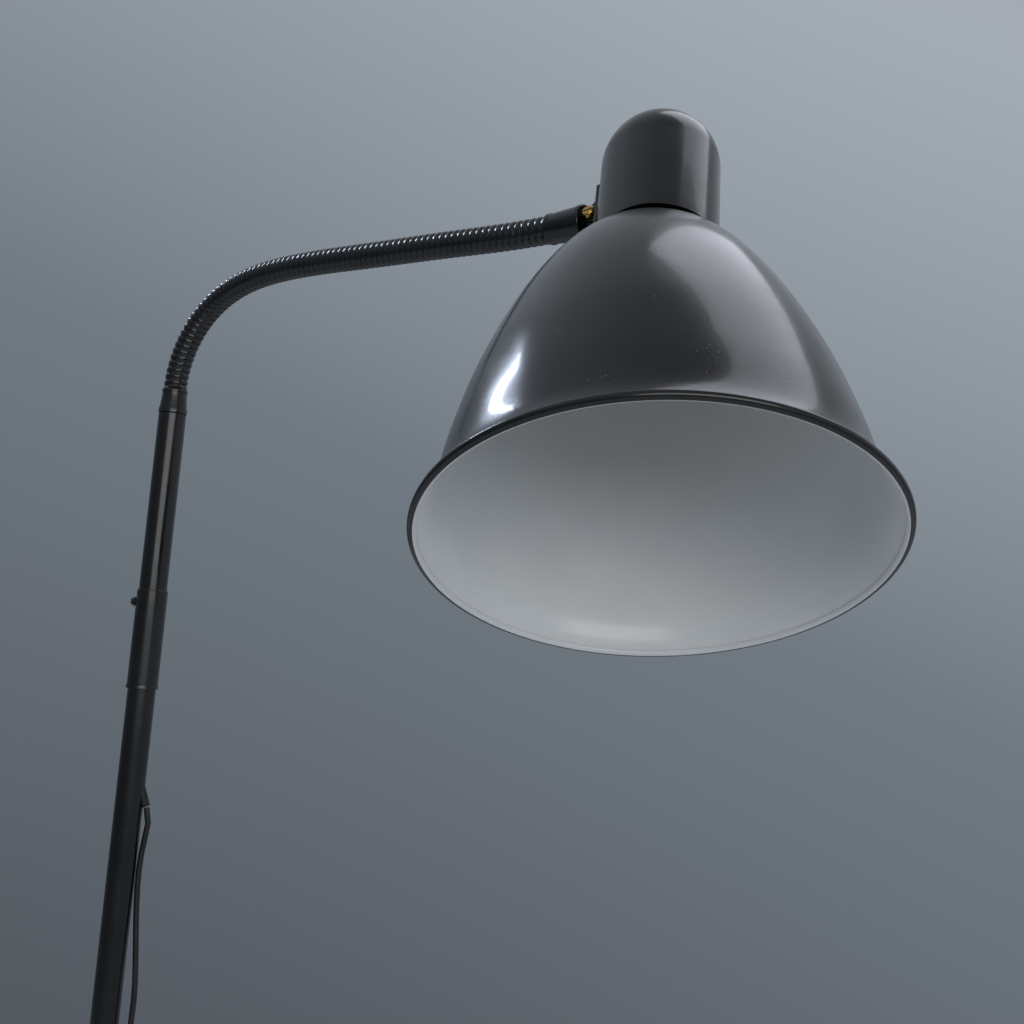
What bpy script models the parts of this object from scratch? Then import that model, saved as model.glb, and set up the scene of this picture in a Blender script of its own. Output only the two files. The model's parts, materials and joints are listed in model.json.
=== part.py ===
"""Flexible-arm floor lamp: weighted round base, steel pole, gooseneck hose, swivelling bell-shade head.

Metres, +Z up.  The origin is the middle of the underside of the base, on the pole's axis.  The arm lies in the
XZ plane and reaches towards +X.
"""

import math

import bmesh
import bpy
from mathutils import Matrix, Vector

# ---------------------------------------------------------------- driving dimensions
GAP = 0.0003  # air left between pieces that touch

BASE_R = 0.130
BASE_TOP = 0.024
PAD_R = 0.124
PAD_T = 0.003

TUBE_R = 0.0080
TUBE_BORE_R = 0.0068
SLEEVE_R = 0.0088
SLEEVE_BORE_R = 0.0083
SLEEVE_LOW = 1.2020
SLEEVE_TOP = 1.2596
TUBE_SPLIT = 1.2250  # where the two tubes meet inside the sleeve
FERRULE_LOW = 1.3650
HOSE_LOW = 1.3800  # the hose leaves the pole here
SET_SCREW_Z = 1.2520

HOSE_R = 0.0068
HOSE_LENGTH = 0.297
HOSE_SECTIONS = 9
# how sharply the hose turns, in radians per metre, at even steps from the pole to the head
HOSE_TURN = (18.5, 14.7, 2.8, -0.4, 0.5, -2.6)
BALL_R = 0.0062
CUP_R = 0.0067
CUP_BACK = 0.0024  # the cup's mouth stops this far before the middle of the ball
BALL_NECK = 0.0015  # the next section's full thickness starts this far after it

NECK_LENGTH = 0.025  # end of the hose to the tilt pin
HEAD_SWIVEL = math.radians(-24.9)
HEAD_TILT = math.radians(-11.9)

CAP_X = 0.0328  # tilt pin to the cap's axis
CAP_R = 0.0271
CAP_WALL = 0.0010
CAP_LOW = -0.0344  # heights on the cap are measured from the tilt pin
CAP_SHOULDER = 0.0175
CAP_DOME = 0.0280
# the lampholder and the shade hang a little askew under the cap
SEAT = (-0.0028, -0.0011, -0.0381)
SEAT_LEAN_X = math.radians(3.35)
SEAT_LEAN_Y = math.radians(-2.4)
SEAT_TO_RIM = 0.147
SHADE_R = 0.0918
SHADE_WALL = 0.0008
BEAD_R = 0.0018

CORD_R = 0.0017
CORD_FINE = 0.0090  # spacing of the cord's points where it bends
CORD_COARSE = 0.0450  # and where it hangs straight
SIDE = math.radians(35.4)  # the side of the pole where the cord comes out
GLAND_Z = 1.1400
GLAND_LEAN = math.radians(25.0)
COIL_X, COIL_Y = 0.305, 0.074
COIL_MID_R = 0.0204  # twelve cord diameters across at the middle of the turns

# ---------------------------------------------------------------- clear the scene, two collections
for old in list(bpy.data.objects):
    bpy.data.objects.remove(old, do_unlink=True)

lamp = bpy.data.collections.new("floor_lamp")
cutters = bpy.data.collections.new("cutters")
bpy.context.scene.collection.children.link(lamp)
bpy.context.scene.collection.children.link(cutters)


# ---------------------------------------------------------------- materials
def finish(name, colour, roughness, metallic=0.0):
    mat = bpy.data.materials.new(name)
    mat.use_nodes = True
    shader = mat.node_tree.nodes["Principled BSDF"]
    shader.inputs["Base Color"].default_value = (*colour, 1.0)
    shader.inputs["Roughness"].default_value = roughness
    shader.inputs["Metallic"].default_value = metallic
    mat.diffuse_color = (*colour, 1.0)
    return mat


BLACK_ENAMEL = ("black_enamel", (0.012, 0.011, 0.013), 0.18)
HOSE_BLACK = ("hose_black", (0.014, 0.014, 0.016), 0.30)
BRASS = ("brass", (0.62, 0.45, 0.20), 0.30, 1.0)
STEEL = ("zinc_steel", (0.55, 0.56, 0.58), 0.35, 1.0)
IRON = ("cast_iron", (0.09, 0.09, 0.095), 0.70, 0.6)
BAKELITE = ("bakelite", (0.020, 0.016, 0.014), 0.35)
PORCELAIN = ("porcelain", (0.80, 0.79, 0.75), 0.25)
RUBBER = ("black_rubber", (0.018, 0.018, 0.018), 0.75)
FELT = ("felt", (0.030, 0.032, 0.030), 0.95)
CORD_PVC = ("cord_pvc", (0.016, 0.016, 0.017), 0.45)
PLUG_PVC = ("plug_pvc", (0.020, 0.020, 0.021), 0.40)


# ---------------------------------------------------------------- modelling helpers
def own(obj, recipe, frame=None):
    """Put a finished object in the lamp's collection, give it its own material and stand it in a frame."""
    for group in list(obj.users_collection):
        group.objects.unlink(obj)
    lamp.objects.link(obj)
    obj.data.materials.clear()
    obj.data.materials.append(finish(obj.name + "_" + recipe[0], *recipe[1:]))
    if frame is not None:
        obj.parent = frame
    return obj


def frame_at(name, matrix, parent=None):
    """An empty that carries a group of pieces; its origin is on the joint they turn about."""
    empty = bpy.data.objects.new(name, None)
    lamp.objects.link(empty)
    if parent is not None:
        empty.parent = parent
    empty.matrix_world = matrix
    bpy.context.view_layer.update()
    return empty


def mesh_object(name, bm):
    bmesh.ops.recalc_face_normals(bm, faces=bm.faces)
    data = bpy.data.meshes.new(name)
    bm.to_mesh(data)
    bm.free()
    obj = bpy.data.objects.new(name, data)
    lamp.objects.link(obj)
    return obj


def turned(name, profile, recipe, closed=False, sides=32, frame=None):
    """A turned piece: a profile of (radius, height) points, read from the top down its outer side."""
    data = bpy.data.meshes.new(name)
    edges = [(i, i + 1) for i in range(len(profile) - 1)]
    if closed:
        edges.append((len(profile) - 1, 0))
    data.from_pydata([(r, 0.0, z) for r, z in profile], edges, [])
    obj = bpy.data.objects.new(name, data)
    screw = obj.modifiers.new("turn", "SCREW")
    screw.steps = sides
    screw.render_steps = sides
    screw.use_merge_vertices = True
    screw.merge_threshold = 0.00002
    screw.use_smooth_shade = True
    return own(obj, recipe, frame)


def ring(name, inner, outer, low, high, recipe, sides=32, frame=None):
    return turned(name, [(outer, high), (outer, low), (inner, low), (inner, high)], recipe, True, sides, frame)


def block(name, low, high, recipe=None, frame=None):
    """A box between two opposite corners."""
    bm = bmesh.new()
    bmesh.ops.create_cube(bm, size=1.0)
    size = [b - a for a, b in zip(low, high)]
    middle = [(a + b) / 2 for a, b in zip(low, high)]
    bmesh.ops.scale(bm, vec=size, verts=bm.verts)
    bmesh.ops.translate(bm, vec=middle, verts=bm.verts)
    obj = mesh_object(name, bm)
    return own(obj, recipe, frame) if recipe else obj


def rod(name, start, end, radius, sides=24, recipe=None, frame=None):
    """A cylinder from one point to another."""
    start, end = Vector(start), Vector(end)
    bm = bmesh.new()
    bmesh.ops.create_cone(
        bm, cap_ends=True, segments=sides, radius1=radius, radius2=radius, depth=(end - start).length
    )
    turn = (end - start).to_track_quat("Z", "Y").to_matrix().to_4x4()
    bmesh.ops.transform(bm, matrix=Matrix.Translation((start + end) / 2) @ turn, verts=bm.verts)
    obj = mesh_object(name, bm)
    return own(obj, recipe, frame) if recipe else obj


def slab(name, outline, low, high, recipe=None, frame=None, axis="Z"):
    """A flat outline given a thickness: a filled 2D curve, extruded, then made a mesh."""
    curve = bpy.data.curves.new(name + "_outline", "CURVE")
    curve.dimensions = "2D"
    curve.fill_mode = "BOTH"
    curve.extrude = (high - low) / 2
    line = curve.splines.new("POLY")
    line.points.add(len(outline) - 1)
    for point, (u, v) in zip(line.points, outline):
        point.co = (u, v, 0.0, 1.0)
    line.use_cyclic_u = True
    guide = bpy.data.objects.new(name + "_guide", curve)
    lamp.objects.link(guide)
    obj = meshed(guide, name)
    lift = Matrix.Translation((0.0, 0.0, (high + low) / 2))
    # on the Y axis the outline's first number stays X and its second becomes Z
    stand = Matrix.Rotation(math.radians(90.0), 4, "X") if axis == "Y" else Matrix.Identity(4)
    obj.data.transform(stand @ lift)
    return own(obj, recipe, frame) if recipe else obj


def meshed(guide, name):
    """Turn a curve object into a welded mesh object of that name."""
    bpy.context.view_layer.update()
    graph = bpy.context.evaluated_depsgraph_get()
    data = bpy.data.meshes.new_from_object(guide.evaluated_get(graph))
    bm = bmesh.new()
    bm.from_mesh(data)
    bmesh.ops.remove_doubles(bm, verts=bm.verts, dist=0.000002)
    bmesh.ops.recalc_face_normals(bm, faces=bm.faces)
    bm.to_mesh(data)
    bm.free()
    data.name = name
    obj = bpy.data.objects.new(name, data)
    obj.matrix_world = guide.matrix_world
    lamp.objects.link(obj)
    bpy.data.objects.remove(guide, do_unlink=True)
    return obj


def tube(name, points, radius, fineness=2, recipe=None, frame=None):
    """A round bar along points: a POLY curve with a bevel and filled ends."""
    curve = bpy.data.curves.new(name, "CURVE")
    curve.dimensions = "3D"
    curve.bevel_depth = radius
    curve.bevel_resolution = fineness
    curve.use_fill_caps = True
    line = curve.splines.new("POLY")
    line.points.add(len(points) - 1)
    for point, place in zip(line.points, points):
        point.co = (*place, 1.0)
    obj = bpy.data.objects.new(name, curve)
    if recipe:
        return own(obj, recipe, frame)
    lamp.objects.link(obj)
    return obj


def ball(name, centre, radius, pole, sides=14):
    bm = bmesh.new()
    bmesh.ops.create_uvsphere(bm, u_segments=sides, v_segments=sides // 2 + 2, radius=radius)
    turn = Vector(pole).to_track_quat("Z", "Y").to_matrix().to_4x4()
    bmesh.ops.transform(bm, matrix=Matrix.Translation(centre) @ turn, verts=bm.verts)
    return mesh_object(name, bm)


def combine(obj, tool, how):
    """Cut obj with the tool, or join the tool to it; the tool becomes a hidden wire guide."""
    for group in list(tool.users_collection):
        group.objects.unlink(tool)
    cutters.objects.link(tool)
    tool.parent = obj.parent
    tool.hide_render = True
    tool.display_type = "WIRE"
    step = obj.modifiers.new(how.lower(), "BOOLEAN")
    step.operation = how
    step.solver = "EXACT"
    step.object = tool
    return obj


def hexagon(across):
    corner = across / math.sqrt(3.0)
    return [(corner * math.cos(math.radians(60 * k)), corner * math.sin(math.radians(60 * k))) for k in range(6)]


def arc(centre, radius, start, end, steps):
    """Points on a circle in the profile plane, angles in degrees."""
    turn = [math.radians(start + (end - start) * k / steps) for k in range(steps + 1)]
    return [(centre[0] + radius * math.cos(a), centre[1] + radius * math.sin(a)) for a in turn]


def smooth_line(route, spacing, straight=None):
    """Points a spacing apart on a smooth curve through the route's points.

    Between the two heights given as straight, where nothing bends, they stand CORD_COARSE apart.
    """
    route = [Vector(p) for p in route]
    ends = [2 * route[0] - route[1], *route, 2 * route[-1] - route[-2]]
    fine = []
    for a, b, c, d in zip(ends, ends[1:], ends[2:], ends[3:]):
        for k in range(24):
            t = k / 24
            fine.append(
                0.5 * (2 * b + (c - a) * t + (2 * a - 5 * b + 4 * c - d) * t**2 + (3 * b - a - 3 * c + d) * t**3)
            )
    fine.append(route[-1])
    run = [0.0]
    for a, b in zip(fine, fine[1:]):
        run.append(run[-1] + (b - a).length)
    pace = run[-1] / max(2, round(run[-1] / spacing))
    points, want, i = [route[0]], pace, 0
    while want < run[-1] - pace / 2:
        while run[i + 1] < want:
            i += 1
        points.append(fine[i].lerp(fine[i + 1], (want - run[i]) / (run[i + 1] - run[i])))
        coarse = straight and straight[0] < points[-1].z < straight[1]
        want += CORD_COARSE if coarse else pace
    points.append(route[-1])
    return points


# ---------------------------------------------------------------- the hose's centreline and the frames along it
def hose_line(count=600):
    """Places and directions at even steps along the hose, added up from how sharply it turns."""
    step = HOSE_LENGTH / count
    place, angle = Vector((0.0, 0.0, HOSE_LOW)), 0.0
    places, angles = [place.copy()], [angle]
    for k in range(count):
        at = (k + 0.5) / count * (len(HOSE_TURN) - 1)
        i = min(int(at), len(HOSE_TURN) - 2)
        turn = HOSE_TURN[i] + (HOSE_TURN[i + 1] - HOSE_TURN[i]) * (at - i)
        middle = angle + turn * step / 2
        place = place + Vector((math.sin(middle), 0.0, math.cos(middle))) * step
        angle += turn * step
        places.append(place.copy())
        angles.append(angle)
    return places, angles


HOSE_PLACES, HOSE_ANGLES = hose_line()


def hose_at(length):
    """The hose's place, direction and upper side at a length from the pole."""
    k = min(max(length / HOSE_LENGTH, 0.0), 1.0) * (len(HOSE_PLACES) - 1)
    i = min(int(k), len(HOSE_PLACES) - 2)
    place = HOSE_PLACES[i].lerp(HOSE_PLACES[i + 1], k - i)
    angle = HOSE_ANGLES[i] + (HOSE_ANGLES[i + 1] - HOSE_ANGLES[i]) * (k - i)
    along = Vector((math.sin(angle), 0.0, math.cos(angle)))
    upper = Vector((-math.cos(angle), 0.0, math.sin(angle)))
    return place, along, upper


def axes(origin, x, y, z):
    matrix = Matrix((x, y, z)).transposed().to_4x4()
    matrix.translation = origin
    return matrix


hose_end, neck_along, neck_upper = hose_at(HOSE_LENGTH)
ACROSS = Vector((0.0, 1.0, 0.0))
NECK = axes(hose_end, neck_along, ACROSS, neck_upper)
PIN = NECK @ Matrix.Translation((NECK_LENGTH, 0.0, 0.0)) @ Matrix.Rotation(HEAD_SWIVEL, 4, "X")
HEAD = PIN @ Matrix.Rotation(HEAD_TILT, 4, "Y")
CAP_AXIS = HEAD @ Matrix.Translation((CAP_X, 0.0, 0.0))
SHADE = (
    CAP_AXIS
    @ Matrix.Translation(SEAT)
    @ Matrix.Rotation(SEAT_LEAN_Y, 4, "Y")
    @ Matrix.Rotation(SEAT_LEAN_X, 4, "X")
)
LAY_DOWN = Matrix.Rotation(math.radians(90.0), 4, "Y")  # stands a turned piece's Z along the frame's X

neck_frame = frame_at("neck_frame", NECK @ LAY_DOWN)
swivel_frame = frame_at("swivel_frame", NECK @ Matrix.Rotation(HEAD_SWIVEL, 4, "X") @ LAY_DOWN)
head_frame = frame_at("head_frame", HEAD)
cap_frame = frame_at("cap_frame", CAP_AXIS, head_frame)
shade_frame = frame_at("shade_frame", SHADE, cap_frame)


# ---------------------------------------------------------------- base
def base():
    turned("base_pad", [(0.0, PAD_T), (PAD_R, PAD_T), (PAD_R, 0.0), (0.0, 0.0)], FELT, sides=40)
    under = PAD_T + GAP
    weight = [
        (0.0300, 0.0210), (0.0340, 0.0140), (0.1150, 0.0140), (0.1180, 0.0115), (0.1180, under),
        (0.0140, under), (0.0140, 0.0120), (0.0054, 0.0120), (0.0054, 0.0210),
    ]
    turned("base_weight", weight, IRON, True, 32)
    outside = [
        (0.0092, BASE_TOP), (0.0600, 0.0228), (0.1000, 0.0200), (0.1160, 0.0172),
        (0.1250, 0.0125), (0.1290, 0.0080), (BASE_R, 0.0036),
    ]
    inside = [
        (BASE_R - 0.0012, 0.0036), (0.1278, 0.0076), (0.1240, 0.0117), (0.1154, 0.0161),
        (0.0997, 0.0188), (0.0600, 0.0216), (0.0092, BASE_TOP - 0.0012),
    ]
    turned("base_cover", outside + inside, BLACK_ENAMEL, True, 40)


def pole_foot():
    stud = [
        (0.0, 0.0600), (0.0058, 0.0600), (0.0064, 0.0590), (0.0064, 0.0230), (0.0078, 0.0230),
        (0.0078, 0.0213), (0.0049, 0.0213), (0.0049, 0.0050), (0.0, 0.0050),
    ]
    turned("foot_stud", stud, STEEL, sides=20)
    ring("foot_washer", 0.0053, 0.0120, 0.0101, 0.0117, STEEL, 24)
    nut = slab("foot_nut", hexagon(0.0160), 0.0042, 0.0098)
    combine(own(nut, STEEL), rod("foot_nut_bore", (0, 0, 0.0), (0, 0, 0.012), 0.0053, 20), "DIFFERENCE")
    collar = [
        (0.0110, 0.0340), (0.0150, 0.0315), (0.0170, 0.0280), (0.0175, 0.0244),
        (0.0084, 0.0244), (0.0084, 0.0340),
    ]
    turned("foot_collar", collar, BLACK_ENAMEL, True, 24)


# ---------------------------------------------------------------- pole
def beside(distance, height, side=SIDE):
    """A point at that distance from the pole's axis, on one side of it."""
    return Vector((distance * math.cos(side), distance * math.sin(side), height))


GLAND_DOWN = beside(math.sin(GLAND_LEAN), -math.cos(GLAND_LEAN))
GLAND_TIP = beside(0.0102, GLAND_Z - 0.0054)
GLAND_LENGTH = 0.0200
GLAND_ROOT = GLAND_TIP - GLAND_DOWN * GLAND_LENGTH


def pole():
    lower = ring("lower_tube", TUBE_BORE_R, TUBE_R, 0.0233, TUBE_SPLIT - GAP, BLACK_ENAMEL, 24)
    hole = rod("gland_hole", GLAND_ROOT - GLAND_DOWN * 0.002, GLAND_TIP + GLAND_DOWN * 0.004, 0.0035, 16)
    combine(lower, hole, "DIFFERENCE")
    taper = [(0.0, GLAND_LENGTH), (0.0023, GLAND_LENGTH), (0.0030, 0.0090), (0.0031, 0.0), (0.0, 0.0)]
    gland = turned("cord_gland", taper, RUBBER, sides=16)
    gland.matrix_world = Matrix.Translation(GLAND_ROOT) @ GLAND_DOWN.to_track_quat("Z", "Y").to_matrix().to_4x4()
    sleeve = [
        (SLEEVE_R - 0.0002, SLEEVE_TOP), (SLEEVE_R, SLEEVE_TOP - 0.0006), (SLEEVE_R, SLEEVE_LOW + 0.0022),
        (SLEEVE_R + 0.0004, SLEEVE_LOW + 0.0016), (SLEEVE_R + 0.0004, SLEEVE_LOW),
        (SLEEVE_BORE_R, SLEEVE_LOW), (SLEEVE_BORE_R, SLEEVE_TOP),
    ]
    sleeve = turned("pole_sleeve", sleeve, BLACK_ENAMEL, True, 24)
    opposite = SIDE + math.pi
    near, far = beside(0.0070, SET_SCREW_Z, opposite), beside(0.0110, SET_SCREW_Z, opposite)
    combine(sleeve, rod("set_screw_hole", near, far, 0.0022, 16), "DIFFERENCE")
    screw = turned(
        "set_screw",
        [(0.0, 0.0040), (0.0014, 0.0037), (0.0024, 0.0028), (0.0027, 0.0016), (0.0027, 0.0010),
         (0.0019, 0.0010), (0.0019, 0.0), (0.0, 0.0)],
        BLACK_ENAMEL, sides=16,
    )
    outward = beside(1.0, 0.0, opposite)
    seat = Matrix.Translation(beside(TUBE_R + GAP, SET_SCREW_Z, opposite))
    screw.matrix_world = seat @ outward.to_track_quat("Z", "Y").to_matrix().to_4x4()
    slot = block("set_screw_slot", (-0.004, -0.0004, 0.0030), (0.004, 0.0004, 0.0060))
    slot.data.transform(screw.matrix_world)
    combine(screw, slot, "DIFFERENCE")
    ring("upper_tube", TUBE_BORE_R, TUBE_R, TUBE_SPLIT + GAP, FERRULE_LOW - GAP, BLACK_ENAMEL, 24)
    tube("pole_lead", [(0, 0, 1.1560), (0, 0, 1.2600), (0, 0, 1.3760)], CORD_R, 2, CORD_PVC)
    top = HOSE_LOW - GAP
    ferrule = [
        (0.0071, top), (0.0074, top - 0.0010), (0.0074, top - 0.0022), (0.0071, top - 0.0030),
        (0.0079, FERRULE_LOW + 0.0034), (0.0083, FERRULE_LOW + 0.0026), (0.0083, FERRULE_LOW),
        (0.0040, FERRULE_LOW), (0.0040, top),
    ]
    turned("pole_ferrule", ferrule, BLACK_ENAMEL, True, 24)


# ---------------------------------------------------------------- hose: a chain of ball-and-cup sections
SECTION = HOSE_LENGTH / HOSE_SECTIONS


def hose():
    for n in range(HOSE_SECTIONS):
        first, last = n == 0, n == HOSE_SECTIONS - 1
        start = n * SECTION + (GAP if first else BALL_NECK)
        end = (n + 1) * SECTION - (0.0 if last else CUP_BACK)
        count = 6
        points = [hose_at(start + (end - start) * k / count)[0] for k in range(count + 1)]
        name = f"hose_{n + 1:02d}"
        section = own(meshed(tube(name + "_line", points, HOSE_R, 3), name), HOSE_BLACK)
        if not first:
            place, along, _ = hose_at(n * SECTION)
            combine(section, ball(name + "_ball", place, BALL_R, along), "UNION")
        if not last:
            place, along, _ = hose_at((n + 1) * SECTION)
            combine(section, ball(name + "_cup", place, CUP_R, along), "DIFFERENCE")


# ---------------------------------------------------------------- neck and tilting joint
def neck():
    ferrule = [
        (0.0081, 0.0208), (0.0085, 0.0202), (0.0085, 0.0184), (0.0082, 0.0176), (0.0072, 0.0036),
        (0.0075, 0.0028), (0.0075, 0.0012), (0.0072, GAP), (0.0058, GAP), (0.0058, 0.0080),
        (0.0042, 0.0080), (0.0042, 0.0165), (0.0062, 0.0165), (0.0062, 0.0208),
    ]
    turned("head_ferrule", ferrule, BLACK_ENAMEL, True, 24, neck_frame)
    spigot = [
        (0.0, 0.0200), (0.0058, 0.0200), (0.0058, 0.0168), (0.0038, 0.0168), (0.0038, 0.0055), (0.0, 0.0055),
    ]
    knuckle = turned("knuckle", spigot, BLACK_ENAMEL, sides=24, frame=swivel_frame)
    back = NECK_LENGTH - 0.0190
    outline = [(-back, -0.0036), *arc((0.0, 0.0), 0.0036, -90, 90, 8), (-back, 0.0036)]
    tongue = slab("knuckle_tongue", outline, -0.0023, 0.0023, axis="Y")
    to_swivel = swivel_frame.matrix_world.inverted() @ PIN
    tongue.data.transform(to_swivel)
    combine(knuckle, tongue, "UNION")
    hole = rod("knuckle_hole", (0, -0.004, 0), (0, 0.004, 0), 0.0022, 16)
    hole.data.transform(to_swivel)
    combine(knuckle, hole, "DIFFERENCE")
    washer = [(0.0, 0.0052), (0.0054, 0.0052), (0.0054, 0.0036), (0.0, 0.0036)]
    turned("swivel_washer", washer, BRASS, sides=20, frame=swivel_frame)


PLATE_X = 0.0040
PLATE_T = 0.0014
EAR_R = 0.0038
SCREW_Z = 0.0112


def bracket():
    plate = block("head_bracket", (PLATE_X, -0.0075, -0.0145), (PLATE_X + PLATE_T, 0.0075, 0.0145))
    own(plate, BLACK_ENAMEL, head_frame)
    for low, high in ((-0.0044, -0.0026), (0.0026, 0.0044)):
        outline = [(PLATE_X + 0.0004, 0.0100), *arc((0.0, 0.0), EAR_R, 125, 235, 8), (PLATE_X + 0.0004, -0.0075)]
        combine(plate, slab(f"ear_{high:.4f}", outline, -high, -low, axis="Y"), "UNION")
    combine(plate, rod("pin_hole", (0, -0.006, 0), (0, 0.006, 0), 0.0022, 16), "DIFFERENCE")
    pin = [
        (0.0, 0.0026), (0.0025, 0.0026), (0.0030, 0.0021), (0.0030, 0.0), (0.0019, 0.0), (0.0019, -0.0130), (0.0, -0.0130),
    ]
    screw = turned("pivot_screw", pin, BRASS, sides=20, frame=head_frame)
    screw.matrix_local = Matrix.Translation((0.0, -0.0047, 0.0)) @ Matrix.Rotation(math.radians(90.0), 4, "X")
    slot = block("pivot_slot", (-0.0045, -0.0084, -0.0004), (0.0045, -0.0064, 0.0004))
    combine(screw, slot, "DIFFERENCE")
    nut = own(slab("pivot_nut", hexagon(0.0060), -0.0077, -0.0047, axis="Y"), BRASS, head_frame)
    combine(nut, rod("pivot_nut_bore", (0, 0.004, 0), (0, 0.010, 0), 0.0022, 16), "DIFFERENCE")
    for word, z in (("upper", SCREW_Z), ("lower", -SCREW_Z)):
        hole = rod(f"{word}_screw_hole", (0.003, 0, z), (0.0075, 0, z), 0.0018, 16)
        combine(plate, hole, "DIFFERENCE")
        profile = [
            (0.0, 0.0020), (0.0018, 0.0019), (0.0024, 0.0012), (0.0024, 0.0), (0.0015, 0.0),
            (0.0015, -0.0084), (0.0, -0.0084),
        ]
        small = turned(f"bracket_screw_{word}", profile, BRASS, sides=16, frame=head_frame)
        small.matrix_local = Matrix.Translation((PLATE_X - GAP, 0, z)) @ Matrix.Rotation(math.radians(-90.0), 4, "Y")
        inner = slab(f"bracket_nut_{word}", hexagon(0.0055), 0.0, 0.0022)
        own(inner, BRASS, head_frame)
        inner.matrix_local = Matrix.Translation((0.0096, 0, z)) @ LAY_DOWN
        combine(inner, rod(f"{word}_nut_bore", (0.009, 0, z), (0.013, 0, z), 0.0018, 16), "DIFFERENCE")


# ---------------------------------------------------------------- cap, lampholder, shade
def dome(radius, rise, steps=7):
    """A quarter of an ellipse from the shoulder up to the axis, in the profile plane."""
    turn = [math.radians(90.0 * k / steps) for k in range(steps + 1)]
    points = [(radius * math.cos(a), CAP_SHOULDER + rise * math.sin(a)) for a in turn]
    points[-1] = (0.0, CAP_SHOULDER + rise)
    return points


def cap():
    inner_r = CAP_R - CAP_WALL
    outside = dome(CAP_R, CAP_DOME)[::-1]
    inside = dome(inner_r, CAP_DOME - CAP_WALL)
    profile = outside + [(CAP_R, CAP_LOW), (inner_r, CAP_LOW)] + inside
    shell = turned("socket_cap", profile, BLACK_ENAMEL, sides=32, frame=cap_frame)
    for word, z in (("upper", SCREW_Z), ("lower", -SCREW_Z)):
        hole = rod(f"cap_hole_{word}", (-CAP_R - 0.002, 0, z), (-CAP_R + 0.003, 0, z), 0.0018, 16)
        combine(shell, hole, "DIFFERENCE")


ARM_Z = 0.0180  # underside of the strap's arm, on the head
ARM_T = 0.0014


def strap():
    """The angled strip inside the cap that both bracket screws hold and the lampholder hangs from."""
    leg = block("holder_strap", (0.0079, -0.0045, -0.0128), (0.0093, 0.0045, ARM_Z + ARM_T))
    own(leg, STEEL, head_frame)
    hang = HEAD.inverted() @ SHADE
    axis_at_arm = hang @ Vector((0.0, 0.0, ARM_Z + ARM_T / 2 - SEAT[2]))
    x, y = axis_at_arm.x, axis_at_arm.y
    high = ARM_Z + ARM_T
    combine(leg, block("strap_neck", (0.0090, -0.0045, ARM_Z), (x, 0.0045, high)), "UNION")
    combine(leg, block("strap_pad", (x - 0.0080, y - 0.0075, ARM_Z), (x + 0.0080, y + 0.0075, high)), "UNION")
    combine(leg, rod("strap_bore", (x, y, ARM_Z - 0.003), (x, y, ARM_Z + 0.004), 0.0054, 20), "DIFFERENCE")
    for word, z in (("upper", SCREW_Z), ("lower", -SCREW_Z)):
        combine(leg, rod(f"strap_hole_{word}", (0.007, 0, z), (0.0098, 0, z), 0.0018, 16), "DIFFERENCE")


def lampholder():
    """Everything that hangs on the nipple; heights are measured from the seat, along the shade's axis."""
    lean_room = 0.0012
    arm_low = ARM_Z - SEAT[2] - lean_room
    arm_high = ARM_Z + ARM_T - SEAT[2] + lean_room
    ring("holder_nipple", 0.0036, 0.0049, 0.0410, arm_high + 0.0065, STEEL, 20, shade_frame)
    nut = own(slab("holder_nut", hexagon(0.0140), arm_high, arm_high + 0.0040), STEEL, shade_frame)
    bore = rod("holder_nut_bore", (0, 0, arm_high - 0.002), (0, 0, arm_high + 0.006), 0.0052, 20)
    combine(nut, bore, "DIFFERENCE")
    top = arm_low
    body = [
        (0.0110, top), (0.0138, top - 0.0030), (0.0138, 0.0215), (0.0186, 0.0175), (0.0186, 0.0100),
        (0.0206, 0.0096), (0.0206, 0.0068), (0.0186, 0.0066), (0.0186, -0.0110), (0.0178, -0.0120),
        (0.0150, -0.0120), (0.0150, 0.0158), (0.0120, 0.0158), (0.0120, 0.0400), (0.0053, 0.0400), (0.0053, top),
    ]
    turned("holder_body", body, BAKELITE, True, 24, shade_frame)
    ring("holder_insert", 0.0030, 0.0116, 0.0158, 0.0260, PORCELAIN, 24, shade_frame)
    ring("thread_shell", 0.0136, 0.0145, -0.0100, 0.0150, BRASS, 24, shade_frame)
    contact = [(0.0, 0.0155), (0.0042, 0.0155), (0.0042, 0.0148), (0.0020, 0.0128), (0.0, 0.0128)]
    turned("centre_contact", contact, BRASS, sides=16, frame=shade_frame)
    grip = [
        (0.0190, 0.0040), (0.0210, 0.0040), (0.0230, 0.0022), (0.0230, -0.0010), (0.0220, -0.0022), (0.0190, -0.0022),
    ]
    turned("shade_ring", grip, BAKELITE, True, 24, shade_frame)


# the shade's outside, from its hole to its rim: height above the rim, radius
SHADE_HOLE = (0.1530, 0.0193)
SHADE_STATIONS = [
    (0.1522, 0.0218), (0.1470, 0.0284), (0.1332, 0.0413), (0.1148, 0.0526), (0.0919, 0.0632),
    (0.0643, 0.0730), (0.0367, 0.0800), (0.0138, 0.0842), (0.0050, 0.0874),
]


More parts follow.
